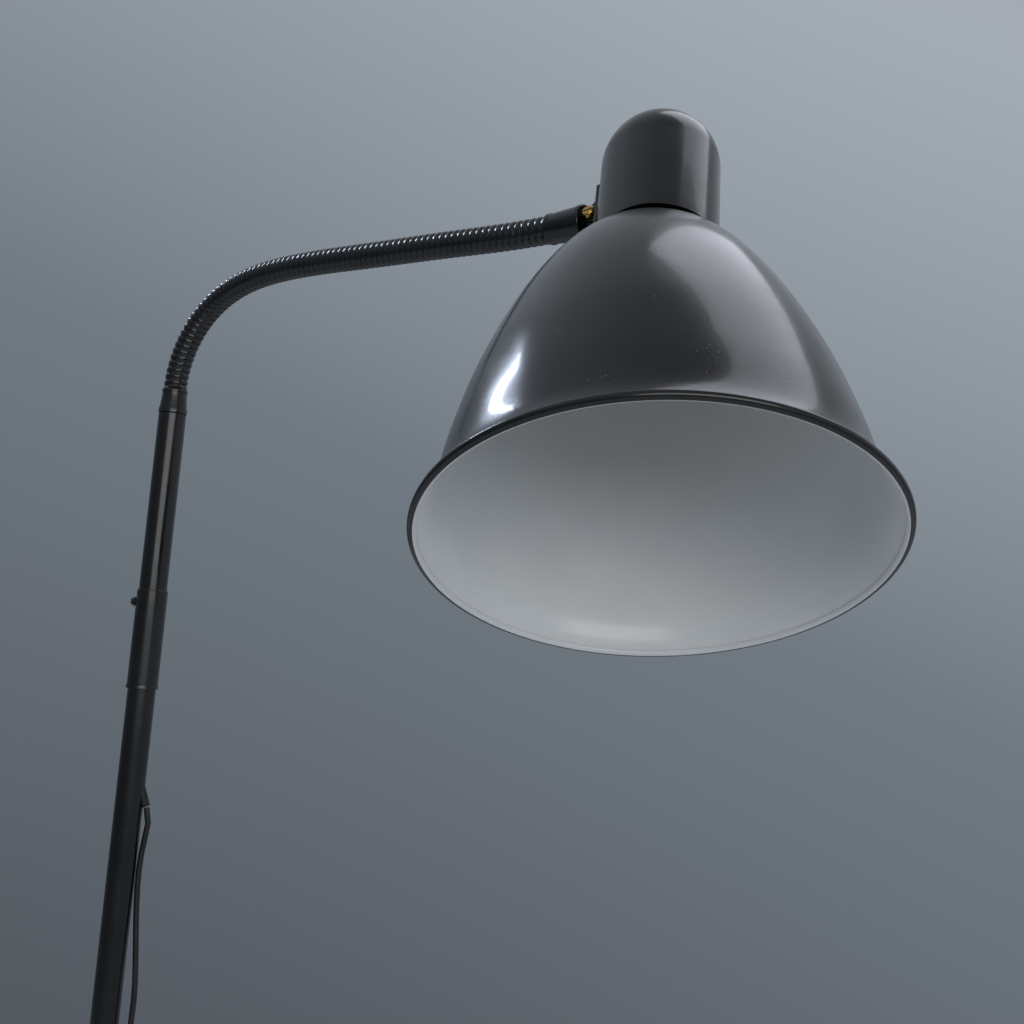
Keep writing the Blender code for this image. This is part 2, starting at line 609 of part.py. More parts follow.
def shade_profile():
    """The bell's closed outline: down the outside, round the rolled rim and up the inside."""
    route = [(r, h - SEAT_TO_RIM, 0.0) for h, r in SHADE_STATIONS]
    outside = [(SHADE_HOLE[1], SHADE_HOLE[0] - SEAT_TO_RIM)]
    outside += [(p.x, p.y) for p in smooth_line(route, 0.0160)]
    inside = []
    for k, (r, z) in enumerate(outside):
        before, after = outside[max(k - 1, 0)], outside[min(k + 1, len(outside) - 1)]
        run = Vector((after[0] - before[0], after[1] - before[1])).normalized()
        inside.append((r + run.y * SHADE_WALL, z - run.x * SHADE_WALL))
    inside[0] = (SHADE_HOLE[1], outside[0][1] - SHADE_WALL)
    middle = (SHADE_R - BEAD_R, BEAD_R - SEAT_TO_RIM)
    rim = arc(middle, BEAD_R, 128, -200, 8)
    return outside + rim + inside[::-1]


def shade():
    turned("shade", shade_profile(), BLACK_ENAMEL, True, 44, shade_frame)


# ---------------------------------------------------------------- cord, switch, coil and plug
SWITCH_Z = 0.0082
SWITCH_HALF = 0.029
SWITCH_X, SWITCH_Y = 0.204, 0.090
CORD_LIE = CORD_R + 0.0002  # height of the cord's middle where it lies on the floor
COIL_LOW, COIL_HIGH = 0.0014, 0.0118
COIL_HALF = 0.0053
PLUG_X, PLUG_Y = 0.372, 0.100
PLUG_HIGH = 0.0140


def cord_drop_route():
    """From the gland, down beside the pole, over the base and along the floor to the switch."""
    hang = [
        (0.0105, 1.1339), (0.0122, 1.1292), (0.0120, 1.1220), (0.0104, 1.1080), (0.0101, 1.0920), (0.0112, 1.0740),
        (0.0136, 1.0500), (0.0152, 1.0300), (0.0150, 1.0100), (0.0140, 0.9700), (0.0135, 0.9000), (0.0145, 0.8000),
        (0.0160, 0.6500), (0.0175, 0.5000), (0.0190, 0.3500), (0.0205, 0.2000), (0.0222, 0.1000), (0.0250, 0.0600),
        (0.0330, 0.0360), (0.0480, 0.0272), (0.0700, 0.0246), (0.0950, 0.0227), (0.1130, 0.0204),
        (0.1290, 0.0145), (0.1430, 0.0060),
    ]
    floor = [
        (0.1310, 0.0865, CORD_LIE + 0.0004), (0.1450, 0.0895, 0.0027), (0.1580, 0.0901, 0.0054),
        (SWITCH_X - SWITCH_HALF - 0.0070, SWITCH_Y, SWITCH_Z), (SWITCH_X - SWITCH_HALF - 2 * GAP, SWITCH_Y, SWITCH_Z),
    ]
    return [tuple(beside(distance, height)) for distance, height in hang] + floor


def cord_run_route():
    """From the switch to the outside of the coil."""
    return [
        (SWITCH_X + SWITCH_HALF + GAP, SWITCH_Y, SWITCH_Z), (SWITCH_X + SWITCH_HALF + 0.0060, SWITCH_Y, SWITCH_Z),
        (0.2480, 0.0903, 0.0054), (0.2600, 0.0920, 0.0024),
        (0.2740, 0.0965, 0.0022), (0.2880, 0.1008, 0.0028), (COIL_X - 0.001, COIL_Y + COIL_MID_R + COIL_HALF + 0.0021, 0.0034),
    ]


def cord_tail_route():
    """From the coil to the plug's strain relief."""
    return [
        (COIL_X + 0.003, COIL_Y + COIL_MID_R + COIL_HALF + 0.0021, 0.0098), (0.3170, 0.1010, 0.0091),
        (0.3260, 0.1002, 0.0078), (PLUG_X - 0.0378, PLUG_Y, PLUG_HIGH / 2),
    ]


def switch():
    half_w = 0.0110
    corner = 0.0085
    spans = ((SWITCH_HALF, half_w, 0), (-SWITCH_HALF, half_w, 90), (-SWITCH_HALF, -half_w, 180), (SWITCH_HALF, -half_w, 270))
    outline = []
    for x, y, start in spans:
        centre = (x - math.copysign(corner, x), y - math.copysign(corner, y))
        outline += arc(centre, corner, start, start + 90, 5)
    outline = [(SWITCH_X + x, SWITCH_Y + y) for x, y in outline]
    low = own(slab("switch_base", outline, 0.0003, SWITCH_Z - GAP / 2), PLUG_PVC)
    high = own(slab("switch_cover", outline, SWITCH_Z + GAP / 2, 0.0145), PLUG_PVC)
    x, y = SWITCH_X, SWITCH_Y
    combine(low, block("rocker_pocket", (x - 0.0095, y - 0.0048, 0.0045), (x + 0.0095, y + 0.0048, 0.0100)), "DIFFERENCE")
    combine(high, block("rocker_slot", (x - 0.0095, y - 0.0048, 0.0060), (x + 0.0095, y + 0.0048, 0.0160)), "DIFFERENCE")
    top = [(-0.0082, -0.0020), (0.0082, -0.0020), (0.0084, 0.0042), (0.0, 0.0030), (-0.0084, 0.0042)]
    rocker = own(slab("switch_rocker", top, -0.0044, 0.0044, axis="Y"), PLUG_PVC)
    rocker.matrix_world = Matrix.Translation((x, y, 0.0110)) @ Matrix.Rotation(math.radians(-7.0), 4, "Y")
    for obj, z0, z1 in ((low, 0.002, 0.0100), (high, 0.0070, 0.0125)):
        combine(obj, rod(obj.name + "_bore", (x - 0.019, y, z0), (x - 0.019, y, z1), 0.0018, 16), "DIFFERENCE")
    combine(high, rod("switch_screw_seat", (x - 0.019, y, 0.0122), (x - 0.019, y, 0.016), 0.0034, 16), "DIFFERENCE")
    profile = [(0.0, 0.0141), (0.0029, 0.0141), (0.0029, 0.0125), (0.0015, 0.0125), (0.0015, 0.0024), (0.0, 0.0024)]
    screw = turned("switch_screw", profile, STEEL, sides=16)
    screw.location = (x - 0.019, y, 0.0)


def coil():
    inner, outer = COIL_MID_R - COIL_HALF, COIL_MID_R + COIL_HALF
    soft = 0.0014
    profile = [
        (outer - soft, COIL_HIGH), (outer, COIL_HIGH - soft), (outer, COIL_LOW + soft), (outer - soft, COIL_LOW),
        (inner + soft, COIL_LOW), (inner, COIL_LOW + soft), (inner, COIL_HIGH - soft), (inner + soft, COIL_HIGH),
    ]
    ring_solid = turned("cord_coil", profile, CORD_PVC, True, 28)
    ring_solid.location = (COIL_X, COIL_Y, 0.0)
    grow, wall, half = 0.0006, 0.0013, 0.0025
    band = block("coil_tie", (inner - wall, -half, COIL_LOW - wall), (outer + wall, half, COIL_HIGH + wall))
    own(band, RUBBER)
    hole = block("tie_hole", (inner - grow, -0.006, COIL_LOW - grow), (outer + grow, 0.006, COIL_HIGH + grow))
    place = Matrix.Translation((COIL_X, COIL_Y, 0.0)) @ Matrix.Rotation(math.radians(160.0), 4, "Z")
    for obj in (band, hole):
        obj.data.transform(place)
    combine(band, hole, "DIFFERENCE")


def plug():
    """A flat two-pin plug, lying on the floor and pointing away from the coil."""
    heading = Matrix.Translation((PLUG_X, PLUG_Y, PLUG_HIGH / 2))
    outline = [(0.0180, -0.0135), (0.0180, 0.0135), (0.0, 0.0175), (-0.0100, 0.0140), (-0.0160, 0.0060),
               (-0.0160, -0.0060), (-0.0100, -0.0140), (0.0, -0.0175)]
    body = own(slab("plug_body", outline, 0.0003 - PLUG_HIGH / 2, PLUG_HIGH / 2), PLUG_PVC)
    soften = body.modifiers.new("soften", "BEVEL")
    soften.width = 0.0016
    soften.segments = 2
    soften.limit_method = "ANGLE"
    body.matrix_world = heading
    relief = [(0.0, 0.0207), (0.0022, 0.0207), (0.0040, 0.0010), (0.0040, 0.0), (0.0, 0.0)]
    boot = turned("plug_relief", relief, PLUG_PVC, sides=16)
    boot.matrix_world = heading @ Matrix.Translation((-0.0163, 0, 0)) @ Matrix.Rotation(math.radians(-90.0), 4, "Y")
    for word, side in (("left", 0.0095), ("right", -0.0095)):
        pin = turned(
            f"plug_pin_{word}", [(0.0, 0.0190), (0.0014, 0.0188), (0.0020, 0.0178), (0.0020, 0.0), (0.0, 0.0)],
            BRASS, sides=16,
        )
        pin.matrix_world = heading @ Matrix.Translation((0.0180 + GAP, side, 0)) @ LAY_DOWN


def cord():
    tube("cord_drop", smooth_line(cord_drop_route(), CORD_FINE, (0.1200, 1.0000)), CORD_R, 2, CORD_PVC)
    tube("cord_run", smooth_line(cord_run_route(), CORD_FINE), CORD_R, 2, CORD_PVC)
    tube("cord_tail", smooth_line(cord_tail_route(), CORD_FINE), CORD_R, 2, CORD_PVC)


# ---------------------------------------------------------------- build
base()
pole_foot()
pole()
hose()
neck()
bracket()
cap()
strap()
lampholder()
shade()
switch()
coil()
plug()
cord()
bpy.context.view_layer.update()
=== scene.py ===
# %% [markdown]
# # A flexible-arm floor lamp
# The lamp is a weighted round base, a thin steel pole, a gooseneck hose and a bell shade that hangs from a small
# cap.  The solids already hold every piece at its true size, so this lesson adds what they leave out: round
# surfaces that shade smoothly, the ribs of the hose, the real cord and the finishes.  All lengths are in metres.

# %% Load the lamp's solids
import json
import math

import bmesh
import bpy
from mathutils import Matrix, Vector

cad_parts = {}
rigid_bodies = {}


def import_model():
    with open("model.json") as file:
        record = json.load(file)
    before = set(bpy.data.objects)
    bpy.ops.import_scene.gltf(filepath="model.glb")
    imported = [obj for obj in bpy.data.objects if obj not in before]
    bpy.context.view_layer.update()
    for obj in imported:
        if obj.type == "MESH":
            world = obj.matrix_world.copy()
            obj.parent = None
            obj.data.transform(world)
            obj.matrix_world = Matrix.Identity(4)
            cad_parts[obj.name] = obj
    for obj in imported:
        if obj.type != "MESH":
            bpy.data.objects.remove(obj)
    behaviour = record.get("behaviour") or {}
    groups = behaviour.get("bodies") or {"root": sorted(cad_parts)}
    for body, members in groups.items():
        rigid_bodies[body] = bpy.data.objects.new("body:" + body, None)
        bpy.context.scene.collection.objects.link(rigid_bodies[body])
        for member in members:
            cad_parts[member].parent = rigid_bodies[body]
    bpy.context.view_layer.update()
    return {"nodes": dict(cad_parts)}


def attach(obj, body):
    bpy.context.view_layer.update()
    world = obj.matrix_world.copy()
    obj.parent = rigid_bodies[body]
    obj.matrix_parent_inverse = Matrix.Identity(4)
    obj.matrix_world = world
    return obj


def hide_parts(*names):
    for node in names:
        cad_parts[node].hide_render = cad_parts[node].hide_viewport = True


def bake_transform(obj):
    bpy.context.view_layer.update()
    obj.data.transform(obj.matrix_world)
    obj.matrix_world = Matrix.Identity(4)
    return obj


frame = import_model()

nodes = frame["nodes"]

# %% [markdown]
# ## The camera
# The lamp's head hangs at eye height and is seen from a little below, close to, so the rim of the shade opens
# towards the viewer.  The camera is turned about the upright axis, tipped up and rolled a few degrees, in that
# order.  A rotation for each is easier to read and to change than one matrix of nine numbers.

# %% Camera
EYE = Vector((0.5837, -0.4542, 1.2627))
HEADING, PITCH, ROLL = math.radians(35.87), math.radians(4.925), math.radians(4.96)

camera_data = bpy.data.cameras.new("studio_camera")
camera_data.sensor_width = 36.0
camera_data.lens = 36.0 * 1200.0 / 1024.0
camera_data.clip_start = 0.02
camera = bpy.data.objects.new("studio_camera", camera_data)
bpy.context.scene.collection.objects.link(camera)
aim = Matrix.Rotation(HEADING, 4, "Z") @ Matrix.Rotation(math.radians(90) + PITCH, 4, "X")
aim = aim @ Matrix.Rotation(ROLL, 4, "Z")
camera.matrix_world = Matrix.Translation(EYE) @ aim
bpy.context.scene.camera = camera
print("camera looks along", [round(x, 3) for x in (aim @ Vector((0, 0, -1, 0)))[:3]])

# %% [markdown]
# ## Two routes for one cord
# A round PVC lead, 3.4 mm thick, leaves the pole through a rubber gland, hangs beside the pole, crosses the base
# and reaches a rocker switch on the floor.  Past the switch the spare length is wound into a small coil and ends
# in a flat plug.  A curve with a round bevel is the usual way to make a cord, because the curve is its centreline.
# The points are listed where the cord bends and a smooth line is drawn through them.  The curve is then made
# a mesh, so that the piece's box is that of the cord itself.

# %% A smooth line through given points
def smooth_line(route, spacing, straight=None):
    """Points a spacing apart on a smooth curve through the route; five times as far apart between two heights."""
    route = [Vector(p) for p in route]
    ends = [2 * route[0] - route[1], *route, 2 * route[-1] - route[-2]]
    fine = []
    for a, b, c, d in zip(ends, ends[1:], ends[2:], ends[3:]):
        for k in range(24):
            t = k / 24
            bend, twist = 2 * a - 5 * b + 4 * c - d, 3 * b - a - 3 * c + d
            fine.append(0.5 * (2 * b + (c - a) * t + bend * t**2 + twist * t**3))
    fine.append(route[-1])
    run = [0.0]
    for a, b in zip(fine, fine[1:]):
        run.append(run[-1] + (b - a).length)
    points, want, i = [route[0]], spacing, 0
    while want < run[-1] - spacing / 2:
        while run[i + 1] < want:
            i += 1
        points.append(fine[i].lerp(fine[i + 1], (want - run[i]) / (run[i + 1] - run[i])))
        hanging = straight and straight[0] < points[-1].z < straight[1]
        want += spacing * (5 if hanging else 1)
    return points + [route[-1]]


def length_of(points):
    return sum((b - a).length for a, b in zip(points, points[1:]))


# %% [markdown]
# ## From a line to a cord
# The lead is 3.4 mm thick.  A bevelled curve gives it a round section everywhere, and its mesh is then taken once,
# because a curve's own box also counts the radius of its points.

# %% A cord from a bevelled curve
CORD_R = 0.0017


def cord_curve(name, points):
    data = bpy.data.curves.new(name, "CURVE")
    data.dimensions = "3D"
    data.bevel_depth = CORD_R
    data.bevel_resolution = 4
    data.use_fill_caps = True
    line = data.splines.new("POLY")
    line.points.add(len(points) - 1)
    for point, place in zip(line.points, points):
        point.co = (*place, 1.0)
    line.use_smooth = True
    guide = bpy.data.objects.new(name + "_guide", data)
    bpy.context.scene.collection.objects.link(guide)
    mesh = bpy.data.meshes.new_from_object(guide.evaluated_get(bpy.context.evaluated_depsgraph_get()))
    bpy.data.objects.remove(guide, do_unlink=True)
    piece = bpy.data.objects.new(name, mesh)
    bpy.context.scene.collection.objects.link(piece)
    print(name, len(points), "points", round(length_of(points), 3), "m")
    return piece


# %% [markdown]
# ## The hanging part
# The lead leaves the pole's side below its sleeve, falls beside it under its own weight and turns out across the
# base.  The places are given as a distance from the pole and a height, because it hangs in one upright plane until
# the floor.

# %% From the gland to the switch
SIDE = math.radians(35.4)  # the side of the pole where the cord comes out
SWITCH = Vector((0.204, 0.090, 0.0082))
SWITCH_HALF = 0.029

hang = [
    (0.0105, 1.1339), (0.0122, 1.1292), (0.0120, 1.1220), (0.0104, 1.1080), (0.0101, 1.0920), (0.0112, 1.0740),
    (0.0136, 1.0500), (0.0152, 1.0300), (0.0150, 1.0100), (0.0140, 0.9700), (0.0135, 0.9000), (0.0145, 0.8000),
    (0.0160, 0.6500), (0.0175, 0.5000), (0.0190, 0.3500), (0.0205, 0.2000), (0.0222, 0.1000), (0.0250, 0.0600),
    (0.0330, 0.0360), (0.0480, 0.0272), (0.0700, 0.0246), (0.0950, 0.0227), (0.1130, 0.0204),
    (0.1290, 0.0145), (0.1430, 0.0060),
]
drop_route = [(away * math.cos(SIDE), away * math.sin(SIDE), height) for away, height in hang]
drop_route += [
    (0.1310, 0.0865, 0.0023), (0.1450, 0.0895, 0.0027), (0.1580, 0.0901, 0.0054),
    (SWITCH.x - SWITCH_HALF - 0.0070, SWITCH.y, SWITCH.z), (SWITCH.x - SWITCH_HALF - 0.0006, SWITCH.y, SWITCH.z),
]
drop_points = smooth_line(drop_route, 0.0090, (0.1200, 1.0000))
lamp_cord = cord_curve("lamp_cord", drop_points)

# %% [markdown]
# ## The coil
# The cord fills nine places, three wide and three high, in eight full turns.  It works through them one place at a
# time, like a snake, and each step to the next place is eased over a sixth of a turn.  A turn leaves its place just
# before the cord of the turn before moves into it, so no two turns ever share a place.

# %% From the switch through the coil to the plug
COIL = Vector((0.305, 0.074, 0.0))
COIL_R = 0.0204
PITCH_BETWEEN = 0.00345
PLUG = Vector((0.372, 0.100, 0.0070))

places = [(1, 0), (0, 0), (-1, 0), (-1, 1), (-1, 2), (0, 2), (0, 1), (1, 1), (1, 2)]  # across, up
STEP = math.radians(60)  # how much of a turn each move takes
FIRST = math.radians(62)  # the cord lies fully in its first place this far round
STAY = 2 * math.pi - STEP  # from one move to the next
MOVE_AT = math.radians(200)  # where round the ring the first move starts, past FIRST
TURNS, POINTS_A_TURN = 8, 24
TURNS_END = TURNS * 2 * math.pi


def eased(value):
    value = min(max(value, 0.0), 1.0)
    return value * value * (3 - 2 * value)


def coil_point(turned):
    """The cord's middle after it has turned so far, clockwise from the coil's far side."""
    across, up = places[0]
    for k, (next_across, next_up) in enumerate(places[1:]):
        share = eased((turned - FIRST - k * STAY - MOVE_AT) / STEP)
        across += (next_across - across) * share
        up += (next_up - up) * share
    lift_in = 1 - eased(turned / FIRST)
    lift_out = eased((turned - (TURNS_END - FIRST)) / FIRST)
    radius = COIL_R + across * PITCH_BETWEEN + 0.0039 * max(lift_in, lift_out)
    height = 0.0031 + up * PITCH_BETWEEN + 0.0003 * lift_in - 0.0002 * lift_out
    angle = math.radians(90) - turned
    return COIL + Vector((radius * math.cos(angle), radius * math.sin(angle), height))


coil_count = TURNS * POINTS_A_TURN
coil_points = [coil_point(TURNS_END * k / coil_count) for k in range(coil_count + 1)]
run_route = [
    (SWITCH.x + SWITCH_HALF + 0.0003, SWITCH.y, SWITCH.z), (SWITCH.x + SWITCH_HALF + 0.0060, SWITCH.y, SWITCH.z),
    (0.2480, 0.0903, 0.0054), (0.2600, 0.0920, 0.0024), (0.2740, 0.0965, 0.0022), (0.2880, 0.1005, 0.0028),
    tuple(coil_points[0]),
]
tail_route = [
    tuple(coil_points[-1]), (0.3170, 0.1010, 0.0091), (0.3260, 0.1002, 0.0078), (PLUG.x - 0.0378, PLUG.y, PLUG.z),
]
run_points = smooth_line(run_route, 0.0060)
tail_points = smooth_line(tail_route, 0.0060)
mains_points = run_points[:-1] + coil_points + tail_points[1:]
mains_cord = cord_curve("mains_cord", mains_points)

# %% [markdown]
# ## Two small helpers for finishes
# A finish starts from a Principled shader and a few nodes that vary it.  Colours are written as sRGB hex codes,
# the way a paint chart gives them, and turned to the linear values that Blender mixes.  One helper adds a node,
# sets its properties and joins or fills its inputs, so a finish reads from top to bottom.

# %% Colour and node helpers
def linear(code, alpha=1.0):
    """An sRGB hex colour as the linear numbers Blender works in."""
    parts = [int(code[i : i + 2], 16) / 255 for i in (1, 3, 5)]
    return (*[p / 12.92 if p <= 0.04045 else ((p + 0.055) / 1.055) ** 2.4 for p in parts], alpha)


def add(tree, kind, inputs=None, **settings):
    """Add a node; settings are its own properties, inputs are values or another node's output."""
    made = tree.nodes.new("ShaderNode" + kind)
    for name, value in settings.items():
        setattr(made, name, value)
    for name, value in (inputs or {}).items():
        if isinstance(value, bpy.types.NodeSocket):
            tree.links.new(value, made.inputs[name])
        else:
            made.inputs[name].default_value = value
    return made


print("mid grey in linear light:", round(linear("#808080")[0], 3))


def start(name, code, roughness, **sockets):
    """A new material with its shader's plain values set; returns the material, its tree, shader and object place."""
    material = bpy.data.materials.new(name)
    material.use_nodes = True
    tree = material.node_tree
    shader = tree.nodes["Principled BSDF"]
    shader.inputs["Base Color"].default_value = linear(code)
    shader.inputs["Roughness"].default_value = roughness
    for socket, value in sockets.items():
        shader.inputs[socket.replace("_", " ")].default_value = value
    place = add(tree, "TexCoord").outputs["Object"]
    return material, tree, shader, place


# %% [markdown]
# ## Gloss black enamel
# The shade, the cap and the tubes are steel, sprayed and stoved with black enamel.  The film is hard and glossy,
# with a faint orange peel about 2 mm wide, handling marks that dull the gloss, and specks of dust.  The film is
# clear on top, so a thin coat gives the sharp reflection and the base under it a softer one.

# %% Black enamel
def stoved_enamel(name, code, dust_code, roughness, dust_share, peel_mm=2.0):
    material, tree, shader, place = start(name, code, roughness, Coat_Weight=0.20, Coat_Roughness=0.05)
    smear = add(tree, "TexNoise", {"Vector": place, "Scale": 22.0, "Detail": 5.0, "Roughness": 0.62, "Distortion": 0.6})
    dull = add(tree, "MapRange", {
        "Value": smear.outputs["Fac"], "From Min": 0.35, "From Max": 0.75,
        "To Min": roughness, "To Max": roughness + 0.14,
    })
    tree.links.new(dull.outputs["Result"], shader.inputs["Roughness"])
    cells = add(tree, "TexVoronoi", {"Vector": place, "Scale": 420.0, "Randomness": 1.0})
    patches = add(tree, "TexNoise", {"Vector": place, "Scale": 60.0, "Detail": 3.0})
    speck = add(tree, "Math", {0: cells.outputs["Distance"], 1: 0.11}, operation="LESS_THAN")
    where = add(tree, "Math", {0: patches.outputs["Fac"], 1: 1.0 - dust_share}, operation="GREATER_THAN")
    dust = add(tree, "Math", {0: speck.outputs[0], 1: where.outputs[0]}, operation="MULTIPLY")
    film = add(tree, "MapRange", {
        "Value": smear.outputs["Fac"], "From Min": 0.55, "From Max": 0.90, "To Min": 0.0, "To Max": 0.05,
    })
    cover = add(tree, "Math", {0: dust.outputs[0], 1: film.outputs["Result"]}, operation="MAXIMUM")
    tint = add(tree, "Mix", {"Factor": cover.outputs[0]}, data_type="RGBA")
    tint.inputs["A"].default_value = linear(code)
    tint.inputs["B"].default_value = linear(dust_code)
    tree.links.new(tint.outputs["Result"], shader.inputs["Base Color"])
    peel = add(tree, "TexNoise", {"Vector": place, "Scale": 1000.0 / peel_mm, "Detail": 1.0})
    bump = add(tree, "Bump", {"Height": peel.outputs["Fac"], "Strength": 0.05, "Distance": 0.0004})
    tree.links.new(bump.outputs["Normal"], shader.inputs["Normal"])
    return material


black_enamel = stoved_enamel("stoved_black_enamel", "#0B0B0D", "#6C6E74", 0.16, 0.40)
pole_enamel = stoved_enamel("stoved_black_enamel_tube", "#0A0B0D", "#62656B", 0.20, 0.30)
base_enamel = stoved_enamel("stoved_black_enamel_base", "#0B0B0D", "#7A7B80", 0.24, 0.55)
print("black enamels made")

# %% [markdown]
# ## White enamel inside the shade
# The inside is sprayed white so that it throws the light down.  Towards the top it is painted darker and warmer,
# partly the yellowing that heat from the bulb gives and partly painted shade deep in the bell; dust greys it
# unevenly.  The height on the shade's own axis drives this darkening, so the change follows the shade and not the room.

# %% White enamel
def white_enamel(top, axis, depth):
    material, tree, shader, place = start("stoved_white_enamel", "#E4E6E8", 0.30, Coat_Weight=0.20, Coat_Roughness=0.12)
    away = add(tree, "VectorMath", {0: place, 1: top}, operation="SUBTRACT")
    height = add(tree, "VectorMath", {0: away.outputs["Vector"], 1: axis}, operation="DOT_PRODUCT")
    # painted shade deep in the bell together with real heat yellowing: darker and warmer towards the top
    heat_and_shade = add(tree, "MapRange", {
        "Value": height.outputs["Value"], "From Min": -depth * 0.65, "From Max": 0.0, "To Min": 0.0, "To Max": 0.75,
    })
    cloud = add(tree, "TexNoise", {"Vector": place, "Scale": 16.0, "Detail": 6.0, "Roughness": 0.60})
    grey = add(tree, "MapRange", {
        "Value": cloud.outputs["Fac"], "From Min": 0.40, "From Max": 0.80, "To Min": 0.0, "To Max": 0.35,
    })
    warm = add(tree, "Mix", {"Factor": heat_and_shade.outputs["Result"]}, data_type="RGBA")
    warm.inputs["A"].default_value = linear("#E4E6E8")
    # colour B is the yellowed tone made darker still as painted shade for the top of the bell
    warm.inputs["B"].default_value = linear("#BDB8AA")
    dusty = add(tree, "Mix", {"Factor": grey.outputs["Result"], "A": warm.outputs["Result"]}, data_type="RGBA")
    dusty.inputs["B"].default_value = linear("#BFC2C6")
    tree.links.new(dusty.outputs["Result"], shader.inputs["Base Color"])
    peel = add(tree, "TexNoise", {"Vector": place, "Scale": 500.0, "Detail": 1.0})
    bump = add(tree, "Bump", {"Height": peel.outputs["Fac"], "Strength": 0.08, "Distance": 0.0004})
    tree.links.new(bump.outputs["Normal"], shader.inputs["Normal"])
    return material


# %% [markdown]
# ## Metals, plastics and soft finishes
# The remaining finishes differ in colour, roughness and in the size of one pattern.  Turned brass shows fine tool
# rings, zinc a cloudy spangle, cast iron a sandy skin, moulded plastic the tiny pits of a spark-cut mould, and
# felt its loose fibres.  One recipe takes those sizes in millimetres, and each call below says what the eye gets.

# %% One recipe for the smaller finishes
def surface(name, code, worn_code, roughness, spread, grain_mm, relief_mm, stretch=(1, 1, 1), **sockets):
    material, tree, shader, place = start(name, code, roughness, **sockets)
    turned_place = add(tree, "Mapping", {"Vector": place, "Scale": stretch})
    grain = add(tree, "TexNoise", {
        "Vector": turned_place.outputs["Vector"], "Scale": 1000.0 / grain_mm, "Detail": 4.0, "Roughness": 0.65,
    })
    cloud = add(tree, "TexNoise", {"Vector": place, "Scale": 70.0, "Detail": 4.0, "Roughness": 0.60})
    both = add(tree, "Math", {0: grain.outputs["Fac"], 1: cloud.outputs["Fac"]}, operation="MULTIPLY")
    worn = add(tree, "MapRange", {
        "Value": both.outputs[0], "From Min": 0.18, "From Max": 0.42, "To Min": 0.0, "To Max": 1.0,
    })
    tint = add(tree, "Mix", {"Factor": worn.outputs["Result"]}, data_type="RGBA")
    tint.inputs["A"].default_value = linear(code)
    tint.inputs["B"].default_value = linear(worn_code)
    tree.links.new(tint.outputs["Result"], shader.inputs["Base Color"])
    dull = add(tree, "MapRange", {
        "Value": both.outputs[0], "From Min": 0.15, "From Max": 0.45,
        "To Min": roughness - spread, "To Max": roughness + spread,
    })
    tree.links.new(dull.outputs["Result"], shader.inputs["Roughness"])
    bump = add(tree, "Bump", {"Height": grain.outputs["Fac"], "Strength": 0.5, "Distance": relief_mm / 1000.0})
    tree.links.new(bump.outputs["Normal"], shader.inputs["Normal"])
    return material


# %% [markdown]
# ## One call for each finish
# A lamp has more kinds of surface than it seems.  Each call names the stuff and how it was made, and the comment
# above it says what that gives the eye.

# %% The finishes themselves
# plasticised PVC drawn over the hose: soft gloss, faint uneven dust
hose_pvc = surface("hose_black_pvc", "#0D0D10", "#1B1C20", 0.24, 0.08, 1.2, 0.04, Coat_Weight=0.15)
# turned brass, lacquered and a little tarnished: warm, with tool rings
turned_brass = surface("turned_brass", "#D9B56B", "#A98343", 0.26, 0.08, 0.5, 0.02, (1, 1, 6), Metallic=1.0)
# bright zinc on steel: cool grey with a cloudy spangle
zinc_steel = surface("zinc_plated_steel", "#B4B7BB", "#8B8F94", 0.36, 0.10, 2.0, 0.02, Metallic=1.0)
# cast iron as it left the sand: dark and rough
sand_cast_iron = surface("sand_cast_iron", "#2B2B2C", "#3A3836", 0.72, 0.08, 0.9, 0.25, Metallic=0.6)
# phenolic moulding powder: brown-black with a faint marbling and a soft shine
moulded_bakelite = surface("moulded_bakelite", "#17110F", "#241A16", 0.32, 0.06, 3.0, 0.02)
# glazed porcelain: clean cream with a wet shine
glazed_porcelain = surface("glazed_porcelain", "#ECE8DF", "#DDD7CA", 0.18, 0.05, 4.0, 0.02, Coat_Weight=0.4)
# moulded rubber: matt, slightly greyed
moulded_rubber = surface("moulded_rubber", "#131314", "#222223", 0.68, 0.08, 0.6, 0.05)
# needled wool felt: no shine, loose fibres
needled_felt = surface("needled_felt", "#1B1D1B", "#2C2E2B", 0.95, 0.04, 0.4, 0.30, Sheen_Weight=0.4)
# extruded PVC lead: satin, with a faint uneven tone
extruded_pvc = surface("extruded_pvc", "#121214", "#1E1E21", 0.40, 0.07, 0.8, 0.02)
# injection-moulded plug and switch: a fine spark texture
moulded_pvc = surface("moulded_pvc", "#161618", "#232326", 0.46, 0.06, 0.5, 0.05)
print("finishes:", len(bpy.data.materials))

# %% [markdown]
# ## Turned pieces
# Tubes, ferrules, the shade and the cap are all made on a lathe or spun over a former, so each is one outline
# turned about an axis.  The spin operator does exactly that.  Edges sharper than 35 degrees then get a small
# round, because a real turned edge is never razor sharp and the round catches the light.

# %% Turn an outline into a piece
def as_piece(name, bm, materials):
    data = bpy.data.meshes.new(name)
    bm.to_mesh(data)
    bm.free()
    data.polygons.foreach_set("use_smooth", [True] * len(data.polygons))
    for material in materials:
        data.materials.append(material)
    piece = bpy.data.objects.new(name, data)
    bpy.context.scene.collection.objects.link(piece)
    return piece


